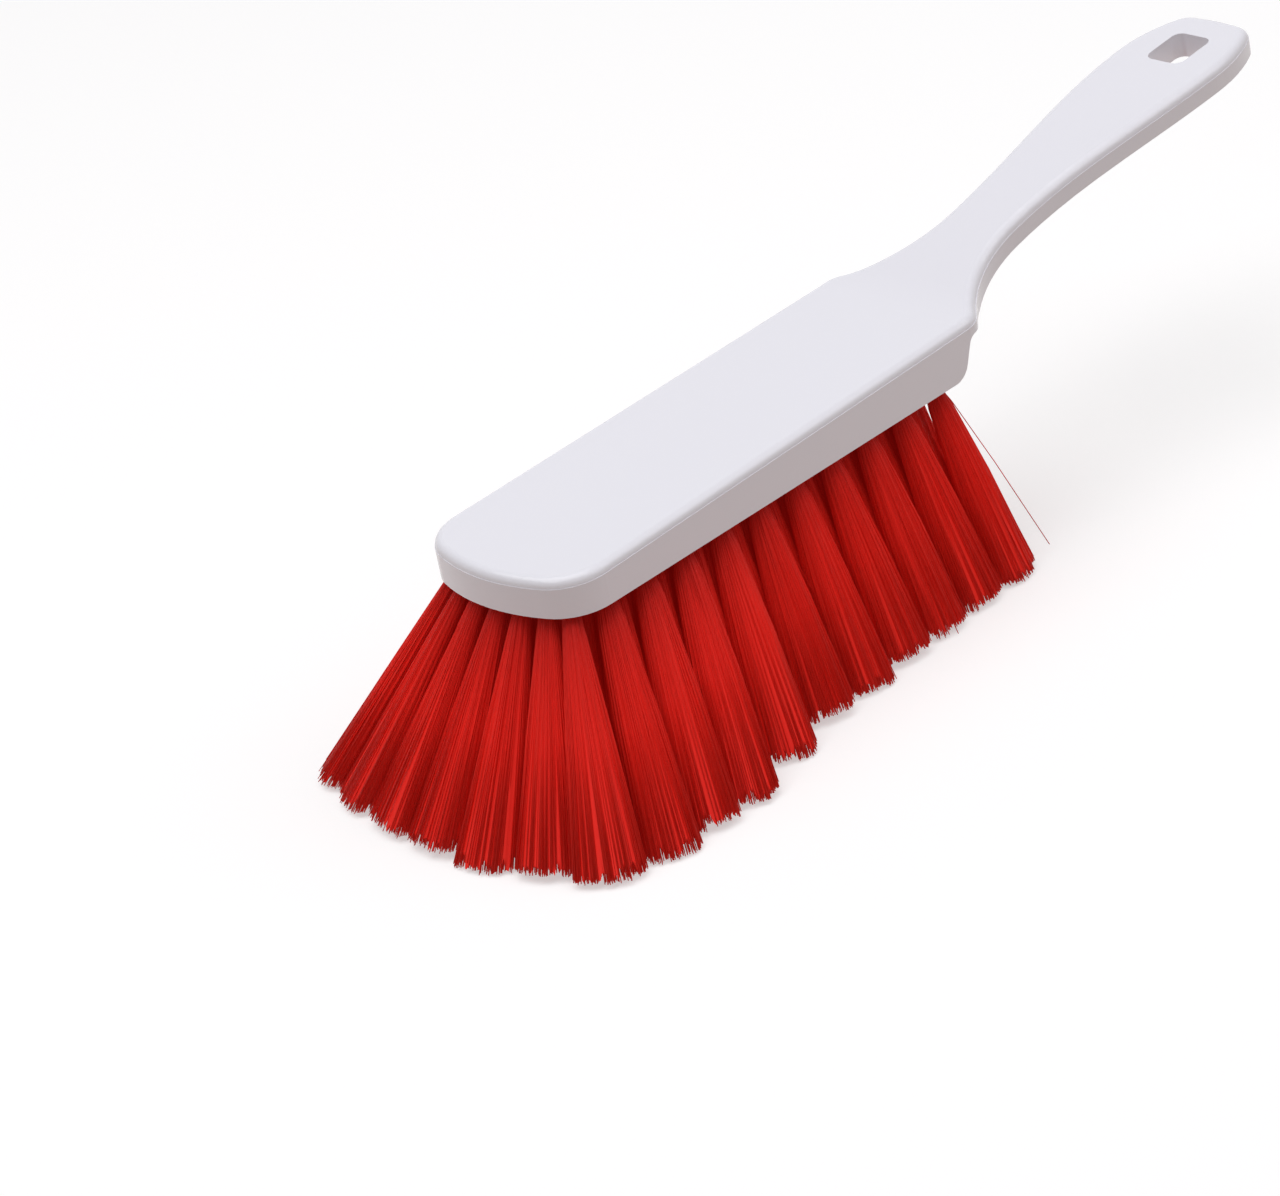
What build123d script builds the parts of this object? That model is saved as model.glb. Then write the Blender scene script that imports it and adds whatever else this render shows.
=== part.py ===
from build123d import *
import math
import os

# A one-handed broom: a moulded plastic body, which is brush head and handle in one, and
# bristle tufts that wire anchors hold in rows across the underside of the head.
# All lengths are in millimetres and all angles in degrees.
# While it is built, X runs from the toe to the end of the handle, Y is across, and Z is
# height over the underside of the head. At the end everything moves to the stand point.

# Head, seen from above
head_length = 168.6
toe_front_radius = 60.0
toe_front_angle = 20.0
toe_corner_radius = 15.0
side_taper = 0.62
heel_corner_radius = 8.0
heel_corner_angle = 45.0

# Head, seen from the side
toe_thickness = 11.3
top_slope = 1.73
heel_round_radius = 6.0
heel_round_angle = 68.0
heel_to_flat = 12.6

# Handle, seen from above
shoulder_radius = 48.0
neck_to_widest = 83.2
grip_half_width = 19.2
grip_taper_radius = 45.0
grip_taper_angle = 28.0
grip_corner_radius = 7.0
grip_corner_angle = 55.0

# Handle, seen from the side
handle_start_angle = 16.3
handle_bow_radius = 670.0
handle_thickness = 7.4
saddle_radius = 60.0
neck_underside_height = 11.4
neck_root_length = 10.0
throat_radius = 3.0

# Edges and walls of the moulding
edge_radius = 2.6
parting_depth = 2.6
parting_step = 0.15
handle_wall = 2.4
handle_deck = 2.4
rib_thickness = 1.6
rib_pitch = 20.0
ribs_start = 20.0

# Hanging hole
hole_length = 15.7
hole_width = 13.5
hole_corner_radius = 3.0
hole_to_end = 11.6

# Recess under the head, and the slices of the head that fill it, one to a row of tufts
rim_width = 2.6
heel_rim_width = 0.8
slice_thickness = 5.0
slice_clearance = 0.15

# Layout of the tufts, with the margins measured from the wall of the recess
straight_rows = 20
side_tuft_margin = 2.8
toe_tuft_margin = 3.4
corner_tuft_margin = 5.8
foot_clearance = 0.1
toe_tuft_pitch = 7.85
toe_row_half_count = 3

# Places of the tufts in a straight row, as shares of the pitch between them. The first row
# has three, and after it rows of five and of four take turns.
row_of_three_shares = (-1, 0, 1)
row_of_four_shares = (-1.5, -0.5, 0.5, 1.5)
row_of_five_shares = (-2, -1, 0, 1, 2)

# Bristle tufts
bristle_length = 58.0
strand_size = 1.1
strands_per_tuft = 5
tuft_root_radius = 1.65
tuft_tip_radius = 6.0
strand_sink = 0.6

# Where along the tuft field the splay changes, as shares of its length, and how far the
# tips lie forward, as shares of the bristle length, and out, as shares of the root's own Y
splay_station_shares = (0.0, 0.055, 0.33, 0.45, 0.70, 1.0)
forward_lean_shares = (0.70, 0.44, 0.40, 0.19, 0.06, -0.06)
side_lean_shares = (1.45, 1.55, 1.55, 1.08, 0.90, 0.70)

# Wire anchors, one to a tuft, each in a pocket that opens into the top of its slice
anchor_width = 5.0
anchor_height = 2.0
anchor_thickness = 0.4
anchor_clearance = 0.05
anchor_depth = 0.1

# A face whose normal rises at least this share of its length belongs to the top
top_face_share = 0.9

# How far cutting shapes run past what they cut
overrun = 1.0


def toe_curves(inset):
    """Half of the rounded toe, from its foremost point to the side of the head."""
    front = JernArc((inset, 0), (0, 1), toe_front_radius - inset, -toe_front_angle)
    turn = 90 + side_taper - toe_front_angle
    corner = JernArc(front @ 1, front % 1, toe_corner_radius - inset, -turn)
    return [front, corner]


def side_line(inset, end_x):
    """Side of the head, from the rounded toe to a place along it."""
    corner = toe_curves(inset)[-1]
    start, direction = corner @ 1, corner % 1
    return Line(start, start + direction * ((end_x - start.X) / direction.X))


def toe_half_width():
    """Half width of the head at its widest, behind the toe."""
    return (toe_curves(0)[-1] @ 1).Y


def body_outline(inset):
    """Outline of the whole body from above, drawn in by the inset."""
    side = side_line(inset, head_length - heel_corner_radius / 2)
    corner = JernArc(side @ 1, side % 1, heel_corner_radius - inset, -heel_corner_angle)
    hollow = JernArc(corner @ 1, corner % 1, shoulder_radius + inset, heel_corner_angle)
    widest = (hollow @ 1).X + neck_to_widest
    grip = Spline([hollow @ 1, (widest, grip_half_width - inset)], tangents=[hollow % 1, (1, 0)])
    taper = JernArc(grip @ 1, (1, 0), grip_taper_radius - inset, -grip_taper_angle)
    end_corner = JernArc(taper @ 1, taper % 1, grip_corner_radius - inset, -grip_corner_angle)
    turn = 90 - grip_taper_angle - grip_corner_angle
    end_radius = (end_corner @ 1).Y / math.sin(math.radians(turn))
    end = JernArc(end_corner @ 1, end_corner % 1, end_radius, -turn)
    half = Curve() + [*toe_curves(inset), side, corner, hollow, grip, taper, end_corner, end]
    return make_face(half + mirror(half, Plane.XZ))


def body_end():
    """X of the far end of the handle."""
    return body_outline(0).bounding_box().max.X


def head_top(x):
    """Height of the flat top of the head."""
    return toe_thickness + x * math.tan(math.radians(top_slope))


def flat_end():
    """X where the flat underside of the head ends and the heel turns up."""
    return head_length - heel_to_flat


def handle_arc(depth):
    """Long bow of the handle from the side, at a depth under its top face."""
    lean = math.radians(handle_start_angle)
    start = (head_length + depth * math.sin(lean), head_top(head_length) - depth * math.cos(lean))
    reach = body_end() + overrun - head_length
    lean_at_end = math.asin(math.sin(lean) - reach / (handle_bow_radius - handle_thickness - overrun))
    turn = math.degrees(lean - lean_at_end)
    return JernArc(start, (math.cos(lean), math.sin(lean)), handle_bow_radius - depth, -turn)


def heel_end():
    """Where the rounded heel, seen from the side, passes into its straight back, and the way that goes."""
    heel = JernArc((flat_end(), 0), (1, 0), heel_round_radius, heel_round_angle)
    return heel @ 1, heel % 1


def throat_corner():
    """Where the back of the heel meets the level underside of the neck."""
    start, direction = heel_end()
    return start + direction * ((neck_underside_height - start.Y) / direction.Y)


def neck_space():
    """The open space behind the heel and under the neck, seen from the side."""
    start, direction = heel_end()
    corner = throat_corner()
    far_x = head_length + neck_root_length
    below = start.Y - overrun
    return make_face(Polyline(start, corner, (far_x, corner.Y), (far_x, below), (start.X, below), start))


def side_profile(drop):
    """The body from the side, with its top lowered by the drop: head, rounded heel and handle."""
    under_head = Line((-overrun, 0), (flat_end(), 0))
    heel = JernArc(under_head @ 1, (1, 0), heel_round_radius, heel_round_angle)
    under_handle = handle_arc(handle_thickness)
    throat = Line(heel @ 1, under_handle @ 0)
    over_handle = handle_arc(drop)
    end = Line(under_handle @ 1, over_handle @ 1)
    over_head = Line(over_handle @ 0, (-overrun, head_top(-overrun) - drop))
    toe = Line(over_head @ 1, under_head @ 0)
    outline = Curve() + [under_head, heel, throat, under_handle, end, over_handle, over_head, toe]
    face = make_face(outline)
    face = fillet(face.vertices().sort_by_distance(over_handle @ 0)[0], saddle_radius + drop) - neck_space()
    return fillet(face.vertices().sort_by_distance(throat_corner())[0], throat_radius)


def tall():
    """A height that clears the whole body."""
    return head_top(head_length) + head_length


def across(face):
    """A face of the side view, carried through the full width of the body."""
    return extrude(Plane.XZ * face, toe_half_width() + overrun, both=True)


def top_edges(solid):
    """The edge that runs right round the top, without the joints between its faces."""
    upward = [face for face in solid.faces() if face.normal_at(face.center()).Z > top_face_share]
    edges = ShapeList(edge for face in upward for edge in face.edges())
    return edges.filter_by(Axis.Y, reverse=True)


def body_blank():
    """The body before its underside is hollowed: a skirt, and over the parting line a softened top."""
    skirt = extrude(body_outline(0), tall()) & across(side_profile(parting_depth))
    upper = extrude(body_outline(parting_step), tall()) & across(side_profile(0))
    return skirt + fillet(top_edges(upper), edge_radius)


def hole_centre_x():
    """X of the middle of the hanging hole."""
    return body_end() - hole_to_end - hole_length / 2


def hole_outline(margin):
    """Outline of the hanging hole, widened by a margin on every side."""
    outline = RectangleRounded(hole_length + 2 * margin, hole_width + 2 * margin, hole_corner_radius + margin)
    return Pos(hole_centre_x(), 0) * outline


def handle_hollow():
    """The open underside of the handle, between its walls and ribs."""
    start = head_length + ribs_start
    length, width = body_end() - start, 2 * toe_half_width()
    middle_x = start + length / 2
    plan = body_outline(handle_wall) & (Pos(middle_x, 0) * Rectangle(length, width))
    plan -= hole_outline(handle_wall)
    plan -= Pos(middle_x, 0) * Rectangle(length, rib_thickness)
    rib_count = int((hole_centre_x() - hole_length / 2 - start) / rib_pitch)
    for rib in range(1, rib_count + 1):
        plan -= Pos(start + rib * rib_pitch, 0) * Rectangle(rib_thickness, width)
    upper = handle_arc(handle_deck)
    lower = handle_arc(handle_thickness + overrun)
    band = make_face(Curve() + [upper, Line(upper @ 1, lower @ 1), lower, Line(lower @ 0, upper @ 0)])
    return extrude(plan, tall()) & across(band)


def tuft_pitch():
    """Distance between tufts across the head, as wide as its narrow end allows."""
    narrow_half = (side_line(0, flat_end()) @ 1).Y
    return (narrow_half - rim_width - side_tuft_margin) / row_of_five_shares[-1]


def toe_root_x(y):
    """X of a tuft of the toe row, which follows the front of the toe."""
    radius = toe_front_radius - rim_width - toe_tuft_margin
    return toe_front_radius - math.sqrt(radius ** 2 - y ** 2)


def corner_tuft_y():
    """Y of the outermost tufts of the toe row."""
    return toe_half_width() - rim_width - corner_tuft_margin


def toe_root_y(place):
    """Y of a tuft of the toe row, counted from 0 in the middle; the last stands at the corner."""
    return corner_tuft_y() if place == toe_row_half_count else place * toe_tuft_pitch


def first_edge():
    """X where the straight rows begin, clear of the slanted feet of the toe row."""
    slant = strand_sink * forward_lean_shares[0]
    foot = tuft_root_radius + strand_size / 2 + slant + foot_clearance
    return toe_root_x(toe_root_y(toe_row_half_count - 1)) + foot


def row_pitch():
    """Distance between the straight rows, which share the room from the toe row to the heel."""
    return (flat_end() - heel_rim_width - first_edge()) / straight_rows


def row_x(number):
    """X of a straight row, counted from 0 at the toe."""
    return first_edge() + (number + 1 / 2) * row_pitch()


def last_row_x():
    """X of the row of tufts nearest the heel."""
    return row_x(straight_rows - 1)


def toe_row():
    """Roots of the tufts that follow the rounded toe."""
    roots = []
    for place in range(-toe_row_half_count, toe_row_half_count + 1):
        y = toe_root_y(abs(place))
        roots.append((toe_root_x(y), math.copysign(y, place)))
    return roots


def straight_row(number):
    """Roots of one straight row, counted from 0 at the toe."""
    shares = row_of_five_shares if number % 2 else row_of_four_shares
    if number == 0:
        shares = row_of_three_shares
    return [(row_x(number), share * tuft_pitch()) for share in shares]


def tuft_field(inset):
    """Outline of the tuft field, drawn in from the outside of the head."""
    heel_x = flat_end() - heel_rim_width + rim_width - inset
    side = side_line(inset, heel_x)
    back = Line(side @ 1, (heel_x, 0))
    half = Curve() + [*toe_curves(inset), side, back]
    return make_face(half + mirror(half, Plane.XZ))


def body():
    """Head and handle in one moulding."""
    recess = extrude(tuft_field(rim_width), slice_thickness)
    hole = extrude(hole_outline(0), tall())
    return body_blank() - recess - handle_hollow() - hole


def share_at(x, shares):
    """One of the splay shares at a place along the field, straight between its stations."""
    start = toe_root_x(0)
    place = min(max((x - start) / (last_row_x() - start), 0), 1)
    for number in range(1, len(splay_station_shares)):
        before, after = splay_station_shares[number - 1], splay_station_shares[number]
        if place <= after:
            part = (place - before) / (after - before)
            return shares[number - 1] + part * (shares[number] - shares[number - 1])
    return shares[-1]


def tip_of(root):
    """Place of a tuft's middle at the trimmed ends of its bristles."""
    x, y = root
    forward = share_at(x, forward_lean_shares) * bristle_length
    return x - forward, y * (1 + share_at(x, side_lean_shares))


def strand(root, tip, angle):
    """One straight strand of a tuft, cut level at its tip."""
    foot = (root[0] + tuft_root_radius * math.cos(angle), root[1] + tuft_root_radius * math.sin(angle))
    end = (tip[0] + tuft_tip_radius * math.cos(angle), tip[1] + tuft_tip_radius * math.sin(angle))
    fall = Vector(end[0] - foot[0], end[1] - foot[1], -bristle_length)
    start = Vector(foot[0], foot[1], 0) - fall * (strand_sink / bristle_length)
    length = fall.length * (1 + strand_sink / bristle_length)
    return extrude(Pos(*start) * Rectangle(strand_size, strand_size), length, dir=fall)


def box_between(low, high):
    """A box from one corner to the opposite one."""
    middle = [(a + b) / 2 for a, b in zip(low, high)]
    return Pos(*middle) * Box(*[b - a for a, b in zip(low, high)])


def anchor_box(root, clearance):
    """A tuft's wire anchor, or with a clearance, the pocket that it is driven into."""
    x, y = root
    half_x, half_y = anchor_thickness / 2 + clearance, anchor_width / 2 + clearance
    high = slice_thickness - anchor_depth
    low = high - anchor_height
    if clearance:
        high = slice_thickness
    return box_between((x - half_x, y - half_y, low), (x + half_x, y + half_y, high))


def backing_slice(number):
    """The slice of the head that carries one row; number -1 is the curved toe row."""
    field = extrude(tuft_field(rim_width + slice_clearance), slice_thickness)
    half = toe_half_width()
    if number > 0:
        low_x = first_edge() + number * row_pitch()
        return field & box_between((low_x, -half, 0), (low_x + row_pitch(), half, slice_thickness))
    between = (toe_root_y(toe_row_half_count - 1) + corner_tuft_y()) / 2
    second_edge = first_edge() + row_pitch()
    middle = box_between((first_edge(), -between, 0), (second_edge, between, slice_thickness))
    if number == 0:
        return field & middle
    return (field & box_between((-overrun, -half, 0), (second_edge, half, slice_thickness))) - middle


def tuft_row(roots, number):
    """One row: its slice of the head, its pockets and all its strands as one solid."""
    backing = backing_slice(number)
    for root in roots:
        backing -= anchor_box(root, anchor_clearance)
    turns = [2 * math.pi * step / strands_per_tuft for step in range(strands_per_tuft)]
    strands = [strand(root, tip_of(root), angle) for root in roots for angle in turns]
    return backing.solid().fuse(*[piece.solid() for piece in strands])


def anchor_row(roots):
    """The wire anchors of one row, each a separate piece of flat wire."""
    return Compound(children=[anchor_box(root, 0).solid() for root in roots])


def all_rows():
    """Each row's number and the roots of its tufts, from the toe to the heel."""
    straight = [(number, straight_row(number)) for number in range(straight_rows)]
    return [(-1, toe_row())] + straight


def all_pieces():
    """Every node of the broom, by name, as it stands while it is built."""
    pieces = {"body": body()}
    for place, (number, roots) in enumerate(all_rows(), start=1):
        pieces[f"tuft_row_{place:02d}"] = tuft_row(roots, number)
        pieces[f"anchors_row_{place:02d}"] = anchor_row(roots)
    return pieces


def main():
    """Write each node, moved so that the broom stands on its bristle tips at the origin."""
    pieces = all_pieces()
    boxes = [piece.bounding_box() for piece in pieces.values()]
    low_x = min(box.min.X for box in boxes)
    high_x = max(box.max.X for box in boxes)
    stand = Pos(-(low_x + high_x) / 2, 0, bristle_length)
    os.makedirs("parts", exist_ok=True)
    for name, piece in pieces.items():
        export_step(stand * piece, f"parts/{name}.step")
    print("toe tips at", round(low_x, 3), "and handle end at", round(high_x, 3))
    print("hole centre at", round(hole_centre_x(), 3), "and tuft pitch", round(tuft_pitch(), 3))
    print("tufts", sum(len(roots) for number, roots in all_rows()))


main()
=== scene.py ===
# %% [markdown]
# # Dressing a one-handed broom
#
# The broom is a white moulded body, head and handle in one, with red bristles under the head.
# Its construction comes packed from CAD, at its real size and in one fixed place. This lesson
# adds what CAD leaves out: thousands of fine filaments, the face that they are planted in, the
# finish of every surface, and a small studio to see them in. All lengths are in metres.

import math

import bmesh
import bpy
import numpy as np
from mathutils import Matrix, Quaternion, Vector


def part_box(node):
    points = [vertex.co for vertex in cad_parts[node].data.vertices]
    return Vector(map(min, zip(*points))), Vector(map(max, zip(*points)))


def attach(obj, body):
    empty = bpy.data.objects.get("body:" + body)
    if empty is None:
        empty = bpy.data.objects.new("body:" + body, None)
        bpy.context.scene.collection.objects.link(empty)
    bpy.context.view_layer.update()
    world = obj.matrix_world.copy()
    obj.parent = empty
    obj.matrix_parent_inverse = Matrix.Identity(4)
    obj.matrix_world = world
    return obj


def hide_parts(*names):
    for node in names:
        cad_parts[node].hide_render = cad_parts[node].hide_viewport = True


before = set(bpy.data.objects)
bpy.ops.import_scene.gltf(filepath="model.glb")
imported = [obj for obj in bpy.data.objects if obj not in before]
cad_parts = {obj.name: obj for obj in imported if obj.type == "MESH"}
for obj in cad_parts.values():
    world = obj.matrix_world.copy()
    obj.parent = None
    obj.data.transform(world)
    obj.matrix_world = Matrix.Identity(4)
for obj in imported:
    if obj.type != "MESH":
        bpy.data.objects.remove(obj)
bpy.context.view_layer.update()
mm = 0.001
print("nodes", len(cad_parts))

# %% [markdown]
# ## Where the tufts are planted
#
# We don't measure the tufts again. Every tuft hangs from its own small wire anchor, so the
# middle of each anchor says where a tuft is planted. The five plain strands that CAD gives each
# tuft end on the floor, and the middle of those ends says where the tuft points. Reading both
# from the loaded meshes keeps this script right if the broom is ever made in another size.

# %% Margins of the reading
same_digits = 6
anchor_margin = mm / 2
level_margin = mm / 10
print("margins in mm", anchor_margin / mm, round(level_margin / mm, 1))


# %% Read the roots and tips of the tufts
def points_of(node):
    """All the corners of a CAD node, as an array with one row for each."""
    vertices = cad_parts[node].data.vertices
    flat = np.zeros(3 * len(vertices))
    vertices.foreach_get("co", flat)
    return flat.reshape(-1, 3)


def middle(points):
    """The point halfway between the lowest and the highest corner."""
    return (points.min(0) + points.max(0)) / 2


def roots_of(anchors_node):
    """
    Where a row's tufts are planted, as X and Y.

    A flat anchor has two Y values, so every pair of Y values, in order, is one anchor.
    """
    points = points_of(anchors_node)
    across = points[:, 1]
    sides = np.unique(across.round(same_digits)).reshape(-1, 2)
    sides = sides + np.array([-anchor_margin, anchor_margin])
    inside = [(across > low) & (across < high) for low, high in sides]
    return np.array([middle(points[chosen])[:2] for chosen in inside])


def tips_of(row_node, tuft_count):
    """
    Where a row's tufts end, as X and Y.

    The strand ends on the floor, sorted by Y, fall into equal groups, one to a tuft.
    """
    points = points_of(row_node)
    ends = np.unique(points[points[:, 2] < level_margin, :2].round(same_digits), axis=0)
    groups = np.array_split(ends[np.argsort(ends[:, 1])], tuft_count)
    return np.array([middle(group) for group in groups])


row_nodes = sorted(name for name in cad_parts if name.startswith("tuft_row_"))
rows = []
for row_node in row_nodes:
    roots = roots_of(row_node.replace("tuft_row_", "anchors_row_"))
    rows.append((row_node, roots, tips_of(row_node, len(roots))))
tuft_total = sum(len(roots) for row_node, roots, tips in rows)
print("tufts", tuft_total, "in", len(rows), "rows")

# %% [markdown]
# ## Turning arrays into a mesh
#
# Every new piece here is a surface that numpy works out as whole arrays. One helper puts such
# arrays into a mesh, with a number for each point where the material wants one. Another gives
# the faces between neighbouring points of a grid, because most surfaces are a bent grid.


# %% Mesh helpers
def new_piece(name, points, faces, numbers=None):
    """A smooth mesh object at the origin, with its place in its points, in the scene."""
    mesh = bpy.data.meshes.new(name)
    mesh.from_pydata(points.reshape(-1, 3), [], faces)
    for label, values in (numbers or {}).items():
        attribute = mesh.attributes.new(label, "FLOAT", "POINT")
        attribute.data.foreach_set("value", values.ravel().astype(np.float32))
    mesh.shade_smooth()
    piece = bpy.data.objects.new(name, mesh)
    bpy.context.scene.collection.objects.link(piece)
    return piece


def grid_faces(numbers, closed=False):
    """
    Squares between neighbours in a table of point numbers.

    closed also joins the table's last column to its first.
    """
    after = np.roll(numbers, -1, axis=-1)
    if not closed:
        numbers, after = numbers[..., :-1], after[..., :-1]
    corners = [numbers[..., :-1, :], after[..., :-1, :], after[..., 1:, :], numbers[..., 1:, :]]
    return np.stack(corners, axis=-1).reshape(-1, 4)


# %% [markdown]
# ## The bristles
#
# A tuft is a bundle of some hundred straight plastic filaments, folded over its anchor and cut
# level at the tips. It leaves its hole as a tight bundle and opens into a fan. Blender's hair
# could grow them, but mesh filaments can be counted, exported and cut level, so each one is a
# three-sided tube of a few rings. Each filament keeps its place in the bundle all the way
# down, which is why real bristles fan out without crossing. Neighbours cling together in
# clumps, and the clumps are what the eye sees as broad streaks in a fan. A clump also ends
# as one, so the cut edge is a little ragged, and a used broom has a stray filament or two.

# %% Sizes of a filament
filaments_per_tuft = 460
filament_radius = 0.16 * mm
filament_stations = np.array([0.0, 0.12, 0.5, 1.0])
filament_sides = 3
under_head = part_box("body")[0].z
print("bristle length in mm", round(under_head / mm, 1))

# %% Sizes of a tuft and its fan
root_spread = 2.1 * mm
root_depth = 0.6 * mm
fan_depth = 6.2 * mm
fan_width, fan_opening = 8.6 * mm, 0.62
toe_fan_width, toe_fan_opening = 10.4 * mm, 0.95
fan_squareness = 2.4
outer_share = 0.5
outer_band = 0.1
clumps_per_tuft = 14
clump_pull = 0.1
print("filaments in a clump, about", round(filaments_per_tuft / clumps_per_tuft))

# %% What keeps filaments from being even
tip_wander = 0.25 * mm
side_sway = 0.15 * mm
tuft_step = 1.6 * mm
ragged_cut = 0.8 * mm
clump_cut = 1.5 * mm
stray_share = 0.003
stray_reach = 3.0 * mm
long_stray = np.array([7.5, -2.0]) * mm
long_stray_tuft = (len(rows) - 1, 0)
print("strays, about", round(stray_share * filaments_per_tuft * tuft_total))


# %% Places in a tuft
def disc_spots(chance, count):
    """Spots spread evenly over a disc of radius 1: at a random turn, and sqrt(chance) out."""
    turn, out = 2 * math.pi * chance.random(count), np.sqrt(chance.random(count))
    return out[:, None] * np.stack([np.cos(turn), np.sin(turn)], axis=1)


def tuft_turn(root, tip):
    """Turns a place along and across a tuft's lean, from root to tip, into X and Y."""
    lean = math.atan2(tip[1] - root[1], tip[0] - root[0])
    return np.array([[math.cos(lean), math.sin(lean)], [-math.sin(lean), math.cos(lean)]])


def squared(spot, power):
    """A disc's spot moved to where a superellipse of this power has the same share of its edge."""
    out = np.hypot(*np.moveaxis(spot, -1, 0))
    edge = (np.abs(spot) ** power).sum(-1) ** (1 / power)
    return spot * (out / edge)[..., None]


def opened(share, width, opening):
    """
    How deep and wide a fan is at a share of its length: root + share^opening (fan - root).

    An opening under 1 is quick at the root, then slow.
    """
    fan = np.array([fan_depth, width])
    return root_spread + share[..., None] ** opening * (fan - root_spread)


def cut_share(seed):
    """How much of its full length a tuft keeps: the knife leaves steps of up to tuft_step."""
    return 1 - tuft_step * np.random.default_rng(seed).random() / under_head


print("tuft lengths in mm", [round(cut_share((0, n)) * under_head / mm, 1) for n in range(3)])


# %% Filament surfaces
def bundle(seed, root, tip, width, opening):
    """
    Points of one tuft's filaments, indexed by filament, ring and side.

    A filament is a tube along P(t) = root + t (tip - root) + size(t) spot(t) + sway sin(pi t),
    for t from 0 to 1. The spot goes from a place on a disc at the root to the same place on a
    rounded rectangle at the tip, drawn a little towards the middle of its clump, because full
    tufts press each other flat. outer_share of the spots are moved into the disc's outer band.
    Each filament ends a little short, by a chance of its own and by one that its clump shares.
    The hindmost filament of one tuft at the heel stands out by long_stray at its tip.
    """
    chance = np.random.default_rng(seed)
    count = filaments_per_tuft
    spot, clumps = disc_spots(chance, count), disc_spots(chance, clumps_per_tuft)
    outer = 1 - outer_band * chance.random(count)
    moved = spot * (outer / np.hypot(*spot.T))[:, None]
    spot = np.where((chance.random(count) < outer_share)[:, None], moved, spot)
    clump = np.hypot(*(spot[:, None] - clumps).transpose(2, 0, 1)).argmin(1)
    drawn = squared(spot + clump_pull * (clumps[clump] - spot), fan_squareness)
    stray = (chance.random(count) < stray_share)[:, None]
    wander = chance.normal(size=(count, 2)) * np.where(stray, stray_reach, tip_wander)
    short = np.abs(chance.normal(size=count)) * ragged_cut
    short = short + chance.random(clumps_per_tuft)[clump] * clump_cut
    t = (cut_share(seed) - short / under_head)[:, None] * filament_stations
    sway = chance.normal(size=(count, 2)) * side_sway
    place = spot[:, None] + t[..., None] * (drawn - spot)[:, None]
    fanned = (opened(t, width, opening) * place) @ tuft_turn(root, tip)
    level = root + t[..., None] * (tip - root) + fanned
    level += t[..., None] * wander[:, None] + np.sin(math.pi * t)[..., None] * sway[:, None]
    if seed == long_stray_tuft:
        hindmost = level[:, -1, 0].argmax()
        level[hindmost] += t[hindmost, :, None] * long_stray
    height = (under_head + root_depth) * (1 - t)
    line = np.concatenate([level, height[..., None]], axis=-1)
    share = np.arange(filament_sides) / filament_sides
    side = 2 * math.pi * (share + chance.random(count)[:, None])
    ring = filament_radius * np.stack([np.cos(side), np.sin(side), np.zeros_like(side)], axis=-1)
    tone = (chance.random(count) + chance.random(clumps_per_tuft)[clump]) / 2
    shape = t.shape + (filament_sides,)
    tone, along = np.broadcast_to(tone[:, None, None], shape), np.broadcast_to(t[..., None], shape)
    return line[:, :, None] + ring[:, None], tone, along


sample = bundle((0, 0), rows[0][1][0], rows[0][2][0], toe_fan_width, toe_fan_opening)[0]
print("points in a tuft", sample.shape[:3], "lowest in mm", round(sample[..., 2].min() / mm, 2))

# %% [markdown]
# ## The middle of a tuft
#
# A real tuft holds so many filaments that no light gets through its middle. Thousands more
# tubes would give that, and nobody would see them. Instead each tuft gets a core: one grooved
# surface just inside its outer filaments, which ends in a ragged crown that turns in on itself
# at the tips. Light comes back from it as it does from packed filaments, and the fan takes its
# broad shading.

# %% Sizes of the core
core_columns = 96
core_share = 0.96
groove_depth = 0.05
lobe_depth = 0.06
lobe_reach = 4
core_stations = np.array([0.0, 0.12, 0.3, 0.5, 0.75, 0.93, 0.985, 0.94, 0.92])
core_swell = np.array([1.0, 1.0, 1.0, 1.0, 1.0, 1.0, 1.0, 0.94, 0.5])
crown_share = np.array([0.0, 0.0, 0.0, 0.0, 0.0, 0.1, 1.0, 0.0, 0.0])
crown_depth = 0.055
crown_turn = math.radians(140)
print("points in a core", core_columns * len(core_stations))


# %% Core surface
def core(seed, root, tip, width, opening):
    """
    Points of one tuft's core, indexed by station and column.

    At share t and angle a it lies at root + t (tip - root) + g(a) s(t) size(t) spot(a, t), with
    the size and spot of a filament at the edge. g takes a fine groove and a broad lobe from each
    column, and s is the swell that turns the end in. A lobe is the running mean of the fine
    chance, over lobe_reach columns on each side. Each column of the crown ends at its own height.
    """
    chance = np.random.default_rng((*seed, 1))
    fine = chance.random(core_columns)
    shifts = range(-lobe_reach, lobe_reach + 1)
    mean = np.mean([np.roll(fine, shift) for shift in shifts], axis=0)
    broad = (mean - mean.min()) / np.ptp(mean)
    groove = core_share * (1 - groove_depth * fine - lobe_depth * broad)
    angle = 2 * math.pi * np.arange(core_columns) / core_columns
    crown = crown_depth * crown_share[:, None] * chance.random(core_columns)
    t = cut_share(seed) * (core_stations[:, None] - crown)
    spot = np.stack([np.cos(angle), np.sin(angle)], axis=-1)
    spot = spot + t[..., None] * (squared(spot, fan_squareness) - spot)
    ring = opened(t, width, opening) * spot * (groove * core_swell[:, None])[..., None]
    level = root + t[..., None] * (tip - root) + ring @ tuft_turn(root, tip)
    height = (under_head + root_depth) * (1 - t)
    tone = np.broadcast_to((fine + 1 - broad) / 2, t.shape)
    return np.concatenate([level, height[..., None]], axis=-1), tone, t


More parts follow.
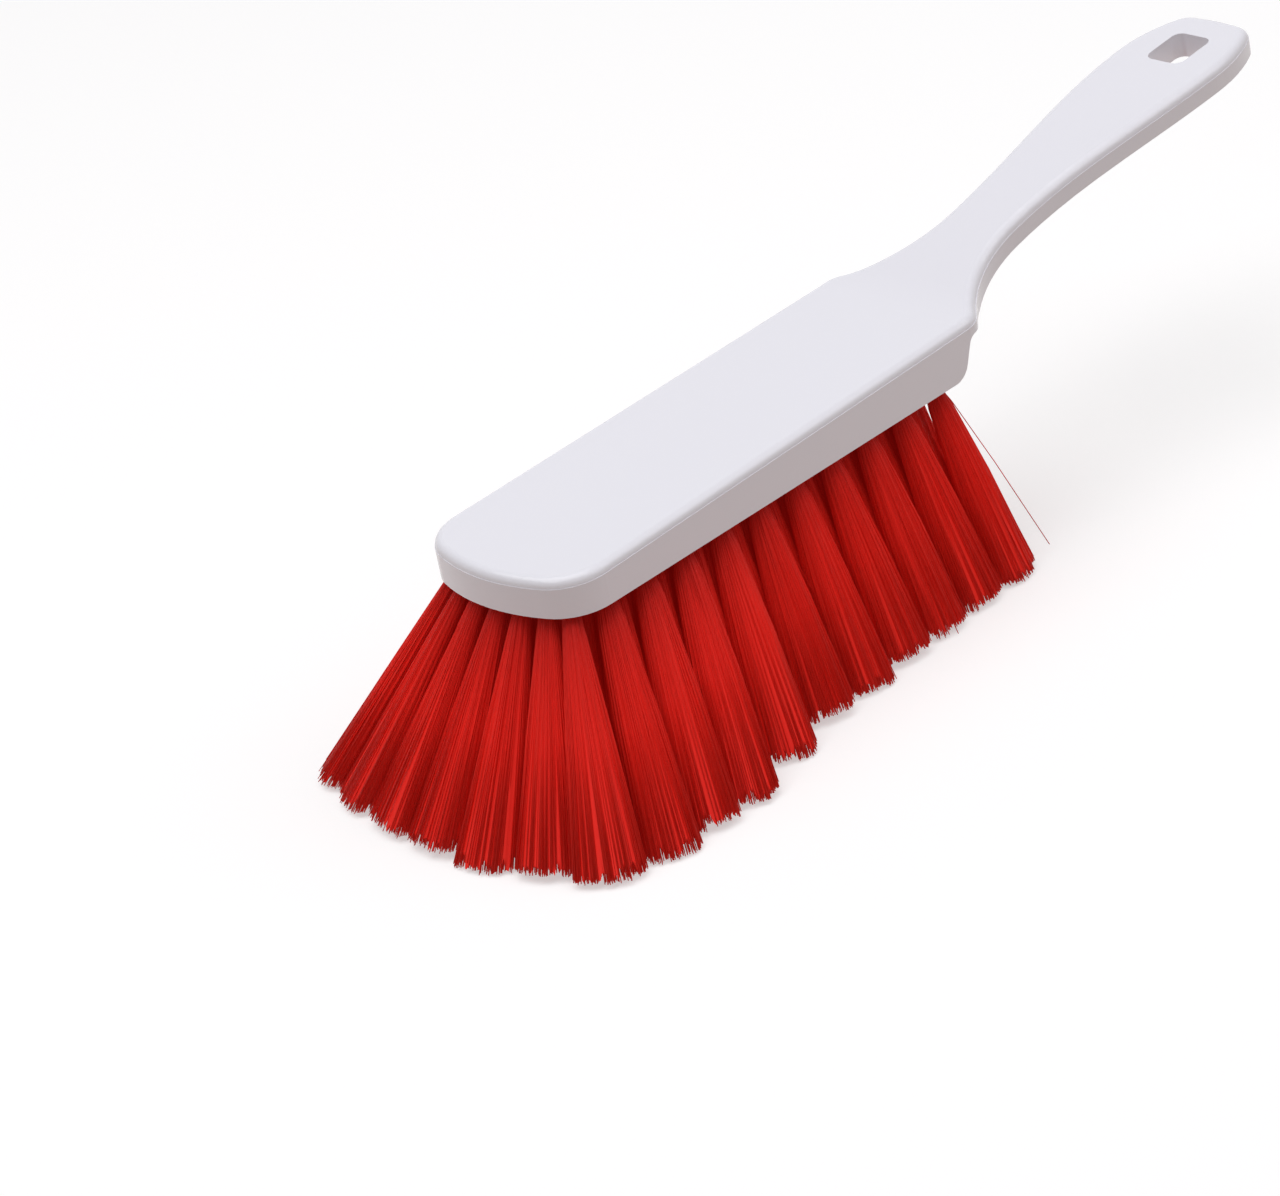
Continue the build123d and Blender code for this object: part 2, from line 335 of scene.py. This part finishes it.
# %% Rows of bristles
def bristle_row(name, number, roots, tips):
    """
    One row of tufts as one mesh: tubes closed at their cut ends, and cores in their crowns.

    Row 0 goes round the toe, and its tufts have wider fans.
    """
    fan = (fan_width, fan_opening) if number else (toe_fan_width, toe_fan_opening)
    places = list(enumerate(zip(roots, tips)))
    tubes = [bundle((number, place), *ends, *fan) for place, ends in places]
    cores = [core((number, place), *ends, *fan) for place, ends in places]
    tube_points, *tube_tones = (np.concatenate(arrays) for arrays in zip(*tubes))
    core_points, *core_tones = (np.stack(arrays) for arrays in zip(*cores))
    tube_numbers = np.arange(tube_points[..., 0].size).reshape(tube_points.shape[:3])
    core_numbers = np.arange(core_points[..., 0].size).reshape(core_points.shape[:3])
    faces = []
    for numbers in (tube_numbers, core_numbers + tube_numbers.size):
        faces += grid_faces(numbers, closed=True)[:, ::-1].tolist()
        faces += numbers[:, -1, ::-1].tolist()
    points = np.concatenate([tube_points.reshape(-1, 3), core_points.reshape(-1, 3)])
    tone, along = (np.concatenate([a.ravel(), b.ravel()]) for a, b in zip(tube_tones, core_tones))
    piece = new_piece(name, points, faces, {"tone": tone, "along": along})
    piece.data.set_sharp_from_angle(angle=crown_turn)
    return piece


bristle_pieces = []
for number, (row_node, roots, tips) in enumerate(rows):
    piece = bristle_row(row_node.replace("tuft_row", "bristles"), number, roots, tips)
    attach(piece, "root")
    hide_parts(row_node)
    bristle_pieces.append(piece)
print("filaments", tuft_total * filaments_per_tuft)
print("faces", sum(len(piece.data.polygons) for piece in bristle_pieces))

# %% [markdown]
# ## The face that the tufts are planted in
#
# CAD cuts this face into slices, one to a row, so that each row is a piece. On the real broom
# it is one smooth face, so here it is one plate that fills the same recess. Its outline is
# read from the slices. It is drawn as a grid whose lines run across the head, and pressed up
# a little round every hole, as the drill leaves it.

# %% Sizes of the planted face
plate_thickness = 2.0 * mm
plate_edge = 0.2 * mm
plate_edge_steps = 2
plate_edge_turn = math.radians(60)
hole_rim = 2.6 * mm
hole_press = 0.4 * mm
plate_steps = (300, 110)
merge_reach = mm / 1000
print("points of the plate", plate_steps[0] * plate_steps[1])


# %% Plate surface
def half_width(x, edge):
    """Half the plate's width at x, straight between the corners of one side of its outline."""
    order = np.argsort(edge[:, 0])
    return np.interp(x, edge[order, 0], edge[order, 1])


def side_of(points, directions=720):
    """One side of the outline: the farthest corner in each direction inside a half turn."""
    angle = np.linspace(0, math.pi, directions + 2)[1:-1]
    farthest = (points[:, :2] @ np.stack([np.cos(angle), np.sin(angle)])).argmax(0)
    return np.unique(points[farthest, :2], axis=0)


def planted_plate():
    """
    The plate's lower face: at (x, s) the point (x, s h(x), z), where h is half the width at x.

    z is the underside of the head, raised by hole_press at the tufts' roots. With step running
    from 0 at hole_rim to 1 at root_spread, the rise is hole_press step^2 (3 - 2 step).
    """
    corners = np.concatenate([points_of(row_node) for row_node in row_nodes])
    edge = side_of(corners[corners[:, 2] > under_head - level_margin])
    share = np.sin(np.linspace(0, math.pi / 2, plate_steps[0]))
    x = edge[:, 0].max() - share[::-1] * np.ptp(edge[:, 0])
    x, s = np.meshgrid(x, np.linspace(-1, 1, plate_steps[1]), indexing="ij")
    y = s * half_width(x, edge)
    planted = np.concatenate([roots for row_node, roots, tips in rows])
    apart = np.hypot(x[..., None] - planted[:, 0], y[..., None] - planted[:, 1]).min(-1)
    step = np.clip((hole_rim - apart) / (hole_rim - root_spread), 0, 1)
    z = under_head + hole_press * step ** 2 * (3 - 2 * step)
    numbers = np.arange(x.size).reshape(x.shape)
    return new_piece("planted_face", np.stack([x, y, z], axis=-1), grid_faces(numbers).tolist())


def merge_doubles(piece, reach):
    """Joins points that lie on each other, such as where a grid runs to a point."""
    work = bmesh.new()
    work.from_mesh(piece.data)
    bmesh.ops.remove_doubles(work, verts=work.verts, dist=reach)
    work.to_mesh(piece.data)
    work.free()


planted_face = planted_plate()
merge_doubles(planted_face, merge_reach)
wall = planted_face.modifiers.new("thickness", "SOLIDIFY")
wall.thickness, wall.offset = plate_thickness, -1
rounding = planted_face.modifiers.new("soft edge", "BEVEL")
rounding.width, rounding.segments = plate_edge, plate_edge_steps
rounding.limit_method, rounding.angle_limit = "ANGLE", plate_edge_turn
rounding.harden_normals = True
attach(planted_face, "root")
print("plate faces", len(planted_face.data.polygons))

# %% [markdown]
# ## Shader maths in plain Python
#
# A finish is a small graph of nodes, and a graph is easier to read as a sum. The class below
# wraps an output socket, so that `1 - mask * 0.3` adds the Math nodes for us. Every other kind
# of node comes from one method, which sets the node's options first and then its sockets.


# %% Wrap a socket
class Wire:
    """An output of a node, which adds Math nodes when it takes part in a sum."""

    def __init__(self, socket):
        self.socket = socket

    def maths(self, operation, first, second):
        """A Math node, in the tree of this output, with these two inputs."""
        tree = self.socket.id_data
        return Finish.add(tree, "ShaderNodeMath", {"operation": operation}, {0: first, 1: second})

    def __add__(self, other):
        return self.maths("ADD", self, other)

    def __sub__(self, other):
        return self.maths("SUBTRACT", self, other)

    def __rsub__(self, other):
        return self.maths("SUBTRACT", other, self)

    def __mul__(self, other):
        return self.maths("MULTIPLY", self, other)

    def __pow__(self, other):
        return self.maths("POWER", self, other)

    __radd__, __rmul__ = __add__, __mul__


class Finish:
    """A material with one Principled shader, and a method that adds any other node."""

    def __init__(self, name, **constants):
        self.material = bpy.data.materials.new(name)
        self.material.use_nodes = True
        self.tree = self.material.node_tree
        self.shader = self.tree.nodes["Principled BSDF"]
        for socket, value in constants.items():
            self.shader.inputs[socket.replace("_", " ")].default_value = value

    @staticmethod
    def add(tree, kind, settings, sockets, output=0):
        """A node in any tree: its options first, then what goes into its sockets."""
        node = tree.nodes.new(kind)
        for name, value in settings.items():
            setattr(node, name, value)
        for name, value in sockets.items():
            if isinstance(value, Wire):
                tree.links.new(value.socket, node.inputs[name])
            else:
                node.inputs[name].default_value = value
        return Wire(node.outputs[output])

    def node(self, kind, settings=None, sockets=None, output=0):
        """A node in this finish."""
        return self.add(self.tree, kind, settings or {}, sockets or {}, output)

    def place(self):
        """Object coordinates, in which a pattern stays on its piece."""
        return self.node("ShaderNodeTexCoord", output="Object")

    def noise(self, scale, detail=2.0, vector=None):
        """Soft noise between 0 and 1, with this many waves to the metre."""
        sockets = {"Vector": vector or self.place(), "Scale": scale, "Detail": detail}
        return self.node("ShaderNodeTexNoise", {}, sockets, "Fac")

    def stretched(self, scales, place):
        """Soft noise with its own number of waves to the metre along each axis."""
        sockets = {"Vector": place, "Scale": scales}
        return self.noise(1.0, vector=self.node("ShaderNodeMapping", {}, sockets))

    def blend(self, share, first, second):
        """A colour between two colours."""
        options = {"data_type": "RGBA"}
        return self.node("ShaderNodeMix", options, {0: share, 6: first, 7: second}, 2)

    def bump(self, height, distance):
        """A normal that follows a height, which is this distance from 0 to 1."""
        sockets = {"Height": height, "Distance": distance, "Strength": 1.0}
        return self.node("ShaderNodeBump", {}, sockets, "Normal")

    def feed(self, **sockets):
        """Links values that change over the surface to the shader."""
        for name, wire in sockets.items():
            self.tree.links.new(wire.socket, self.shader.inputs[name.replace("_", " ")])
        return self.material


def describe(material):
    """Prints how large a finish is."""
    print(material.name, "has", len(material.node_tree.nodes), "nodes")


# %% [markdown]
# ## White moulded plastic
#
# The body is glossy polypropylene, white with a breath of blue. A mould never leaves a perfect
# mirror: the surface has a faint orange peel, the gloss is duller in soft patches, and wiping
# leaves the finest of hairlines along the broom. Each of these is noise at its own scale.

# %% Body finish
body_white = (0.835, 0.825, 0.885, 1)
body_shade = (0.815, 0.803, 0.862, 1)
cloud_scale, patch_scale, peel_scale = 9, 38, 520
hairline_scale = (18, 700, 700)
body_roughness, patch_roughness, hairline_roughness = 0.2, 0.08, 0.012
body_coat, cloud_coat = 0.2, 0.15
peel_height = 0.008 * mm


def body_finish():
    """White plastic: roughness and coat are sums of noises, and the peel is a bump."""
    finish = Finish("white moulded plastic", Coat_Roughness=0.08, IOR=1.46)
    place = finish.place()
    cloud = finish.noise(cloud_scale, detail=3, vector=place)
    patch = finish.noise(patch_scale, vector=place)
    hairline = finish.stretched(hairline_scale, place)
    peel = finish.noise(peel_scale, detail=1, vector=place)
    return finish.feed(
        Base_Color=finish.blend(cloud, body_white, body_shade),
        Roughness=body_roughness + patch * patch_roughness + hairline * hairline_roughness,
        Coat_Weight=body_coat + cloud * cloud_coat,
        Normal=finish.bump(peel, peel_height),
    )


body_material = body_finish()
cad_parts["body"].data.materials.clear()
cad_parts["body"].data.materials.append(body_material)
planted_face.data.materials.append(body_material)
describe(body_material)

# %% [markdown]
# ## Red filaments
#
# Filaments are drawn plastic with a satin skin, and no two take the dye quite alike. The mesh
# carries two numbers for this, a tone for each filament and the share of the way along it.
# The tips are cut and worn, so the last part is a little paler. Towards the root the colour is
# darkened as painted shade, where little light gets in between the packed filaments. A real
# filament also lets light through to its neighbours. That would be slow to trace, so a very faint
# glow stands for it.

# %% Bristle finish
bristle_red = (0.95, 0.024, 0.014, 1)
bristle_deep = (0.89, 0.018, 0.010, 1)
bristle_tip = (0.97, 0.04, 0.028, 1)
# Painted shade: the dark red that the roots are blended towards.
bristle_painted_shade = (0.36, 0.007, 0.006, 1)
bristle_glow = 0.03
shade_fall, shade_share = 6, 0.75
tip_rise, tip_share = 12, 0.4
draw_scale = 600
bristle_roughness, tone_roughness, draw_roughness = 0.42, 0.08, 0.1


def bristle_finish():
    """Red plastic: tone blends two dyes, and powers of the share along it blend in painted shade at
    the root and a paler worn tip.
    """
    finish = Finish("red filament", IOR=1.5, Specular_IOR_Level=0.2, Emission_Strength=bristle_glow)
    finish.shader.inputs["Emission Color"].default_value = bristle_red
    tone = finish.node("ShaderNodeAttribute", {"attribute_name": "tone"}, {}, "Fac")
    along = finish.node("ShaderNodeAttribute", {"attribute_name": "along"}, {}, "Fac")
    dye = finish.blend(tone, bristle_deep, bristle_red)
    # Painted shade: darker towards the root.
    root_shaded = finish.blend((1 - along) ** shade_fall * shade_share, dye, bristle_painted_shade)
    worn = finish.blend(along ** tip_rise * tip_share, root_shaded, bristle_tip)
    draw = finish.noise(draw_scale)
    roughness = bristle_roughness + tone * tone_roughness + draw * draw_roughness
    return finish.feed(Base_Color=worn, Roughness=roughness)


bristle_material = bristle_finish()
for piece in bristle_pieces:
    piece.data.materials.append(bristle_material)
describe(bristle_material)

# %% [markdown]
# ## Anchor wire
#
# The anchors are short pieces of drawn flat wire. They sit out of sight in the head, but
# anyone who cuts the broom open should still find metal, with the fine lines of the die.

# %% Anchor finish
wire_dark, wire_light = (0.52, 0.52, 0.54, 1), (0.68, 0.68, 0.69, 1)
line_scale = (2000, 120, 2000)
wire_roughness, line_roughness = 0.28, 0.2
line_height = 0.01 * mm


def anchor_finish():
    """Bare steel with lines along Y, which vary its colour, roughness and normal."""
    finish = Finish("drawn flat wire", Metallic=1.0)
    lines = finish.stretched(line_scale, finish.place())
    return finish.feed(
        Base_Color=finish.blend(lines, wire_dark, wire_light),
        Roughness=wire_roughness + lines * line_roughness,
        Normal=finish.bump(lines, line_height),
    )


anchor_material = anchor_finish()
for name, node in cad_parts.items():
    if name.startswith("anchors_row_"):
        node.data.materials.clear()
        node.data.materials.append(anchor_material)
describe(anchor_material)

# %% [markdown]
# ## A small studio
#
# The broom stands on its bristle tips on a pale floor. The floor glows only for the camera and
# for reflections, so it looks white without throwing extra light on the broom, and it keeps
# the broom's soft shadow. The light that it throws back is warm, as in a small warm room. An
# even sky and two large lamps light the broom: the key lamp from high over the toe, and a
# weak fill lamp from the near side.

# %% Floor
floor_reach = 8.0
floor_colour = (0.55, 0.43, 0.36, 1)
floor_seen = (0.55, 0.54, 0.54, 1)
floor_glow = (0.5, 0.5, 0.5, 1)


def seen_directly(tree):
    """1 for rays from the camera or a reflection, and 0 for light that bounces."""
    path = tree.nodes.new("ShaderNodeLightPath")
    camera, glossy, through = (Wire(path.outputs[name]) for name in (
        "Is Camera Ray", "Is Glossy Ray", "Is Transmission Ray"))
    return camera + glossy + through


def floor_finish():
    """A dull floor: warm where light bounces off it, and pale and glowing where it is seen."""
    finish = Finish("pale floor", Roughness=0.9, Emission_Strength=1.0)
    seen = seen_directly(finish.tree)
    return finish.feed(
        Base_Color=finish.blend(seen, floor_colour, floor_seen),
        Emission_Color=finish.blend(seen, (0, 0, 0, 1), floor_glow),
    )


corners = floor_reach * np.array([(-1, -1, 0), (1, -1, 0), (1, 1, 0), (-1, 1, 0)])
floor = new_piece("floor", corners, [(0, 1, 2, 3)])
floor_material = floor_finish()
floor.data.materials.append(floor_material)
describe(floor_material)

# %% Sky
sky_light = 0.24
sky_colour = (0.97, 0.98, 1.0, 1)
world = bpy.data.worlds.new("studio")
bpy.context.scene.world = world
world.use_nodes = True
sky = world.node_tree.nodes["Background"]
seen = seen_directly(world.node_tree)
strength = sky_light + seen * (1 - sky_light)
world.node_tree.links.new(strength.socket, sky.inputs["Strength"])
sky.inputs["Color"].default_value = sky_colour
print("sky light on the broom", sky_light)


# %% Lamps
def lamp(name, towards, distance, size, brightness, colour):
    """
    A square lamp that faces the broom, in W: brightness times pi squared times distance squared.

    So a brightness of 1 lights a white surface that faces a small lamp to white.
    """
    light = bpy.data.lights.new(name, "AREA")
    light.size = size
    light.energy = brightness * math.pi ** 2 * distance ** 2
    light.color = colour
    holder = bpy.data.objects.new(name, light)
    direction = Vector(towards).normalized()
    holder.location = Vector((0, 0, under_head)) + direction * distance
    holder.rotation_mode = "QUATERNION"
    holder.rotation_quaternion = direction.to_track_quat("Z", "Y")
    bpy.context.scene.collection.objects.link(holder)
    print(name, "at", [round(side, 2) for side in holder.location], "m,", round(light.energy), "W")


lamp_colour = (1.0, 0.995, 1.0)
lamp("key lamp", (-0.19, 0.12, 0.97), 1.6, size=1.7, brightness=0.765, colour=lamp_colour)
lamp("fill lamp", (0.4, -0.5, 0.77), 1.8, size=1.4, brightness=0.24, colour=lamp_colour)

# %% [markdown]
# ## The camera
#
# The camera looks down on the toe from one side. Its place is given from the broom's foremost
# point on the underside of the head, its aim as an azimuth and an elevation, and it leans a
# little to one side, so the broom runs up to the right.

# %% Camera
camera_from_toe = Vector((-0.7896, -1.0381, 0.6809))
camera_azimuth = math.radians(-39.052)
camera_elevation = math.radians(27.801)
camera_roll = math.radians(-11.289)
lens, sensor_width = 154.6, 36.0

camera = bpy.data.objects.new("camera", bpy.data.cameras.new("camera"))
bpy.context.scene.collection.objects.link(camera)
bpy.context.scene.camera = camera
camera.data.sensor_width, camera.data.lens = sensor_width, lens
toe = Vector((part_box("body")[0].x, 0, under_head))
back = Vector((
    math.sin(camera_azimuth) * math.cos(camera_elevation),
    -math.cos(camera_azimuth) * math.cos(camera_elevation),
    math.sin(camera_elevation),
))
camera.location = toe + camera_from_toe
camera.rotation_mode = "QUATERNION"
camera.rotation_quaternion = (-back).to_track_quat("-Z", "Y") @ Quaternion((0, 0, 1), camera_roll)
bpy.context.scene.view_settings.view_transform = "Standard"
print("camera at", [round(side, 3) for side in camera.location], "m")
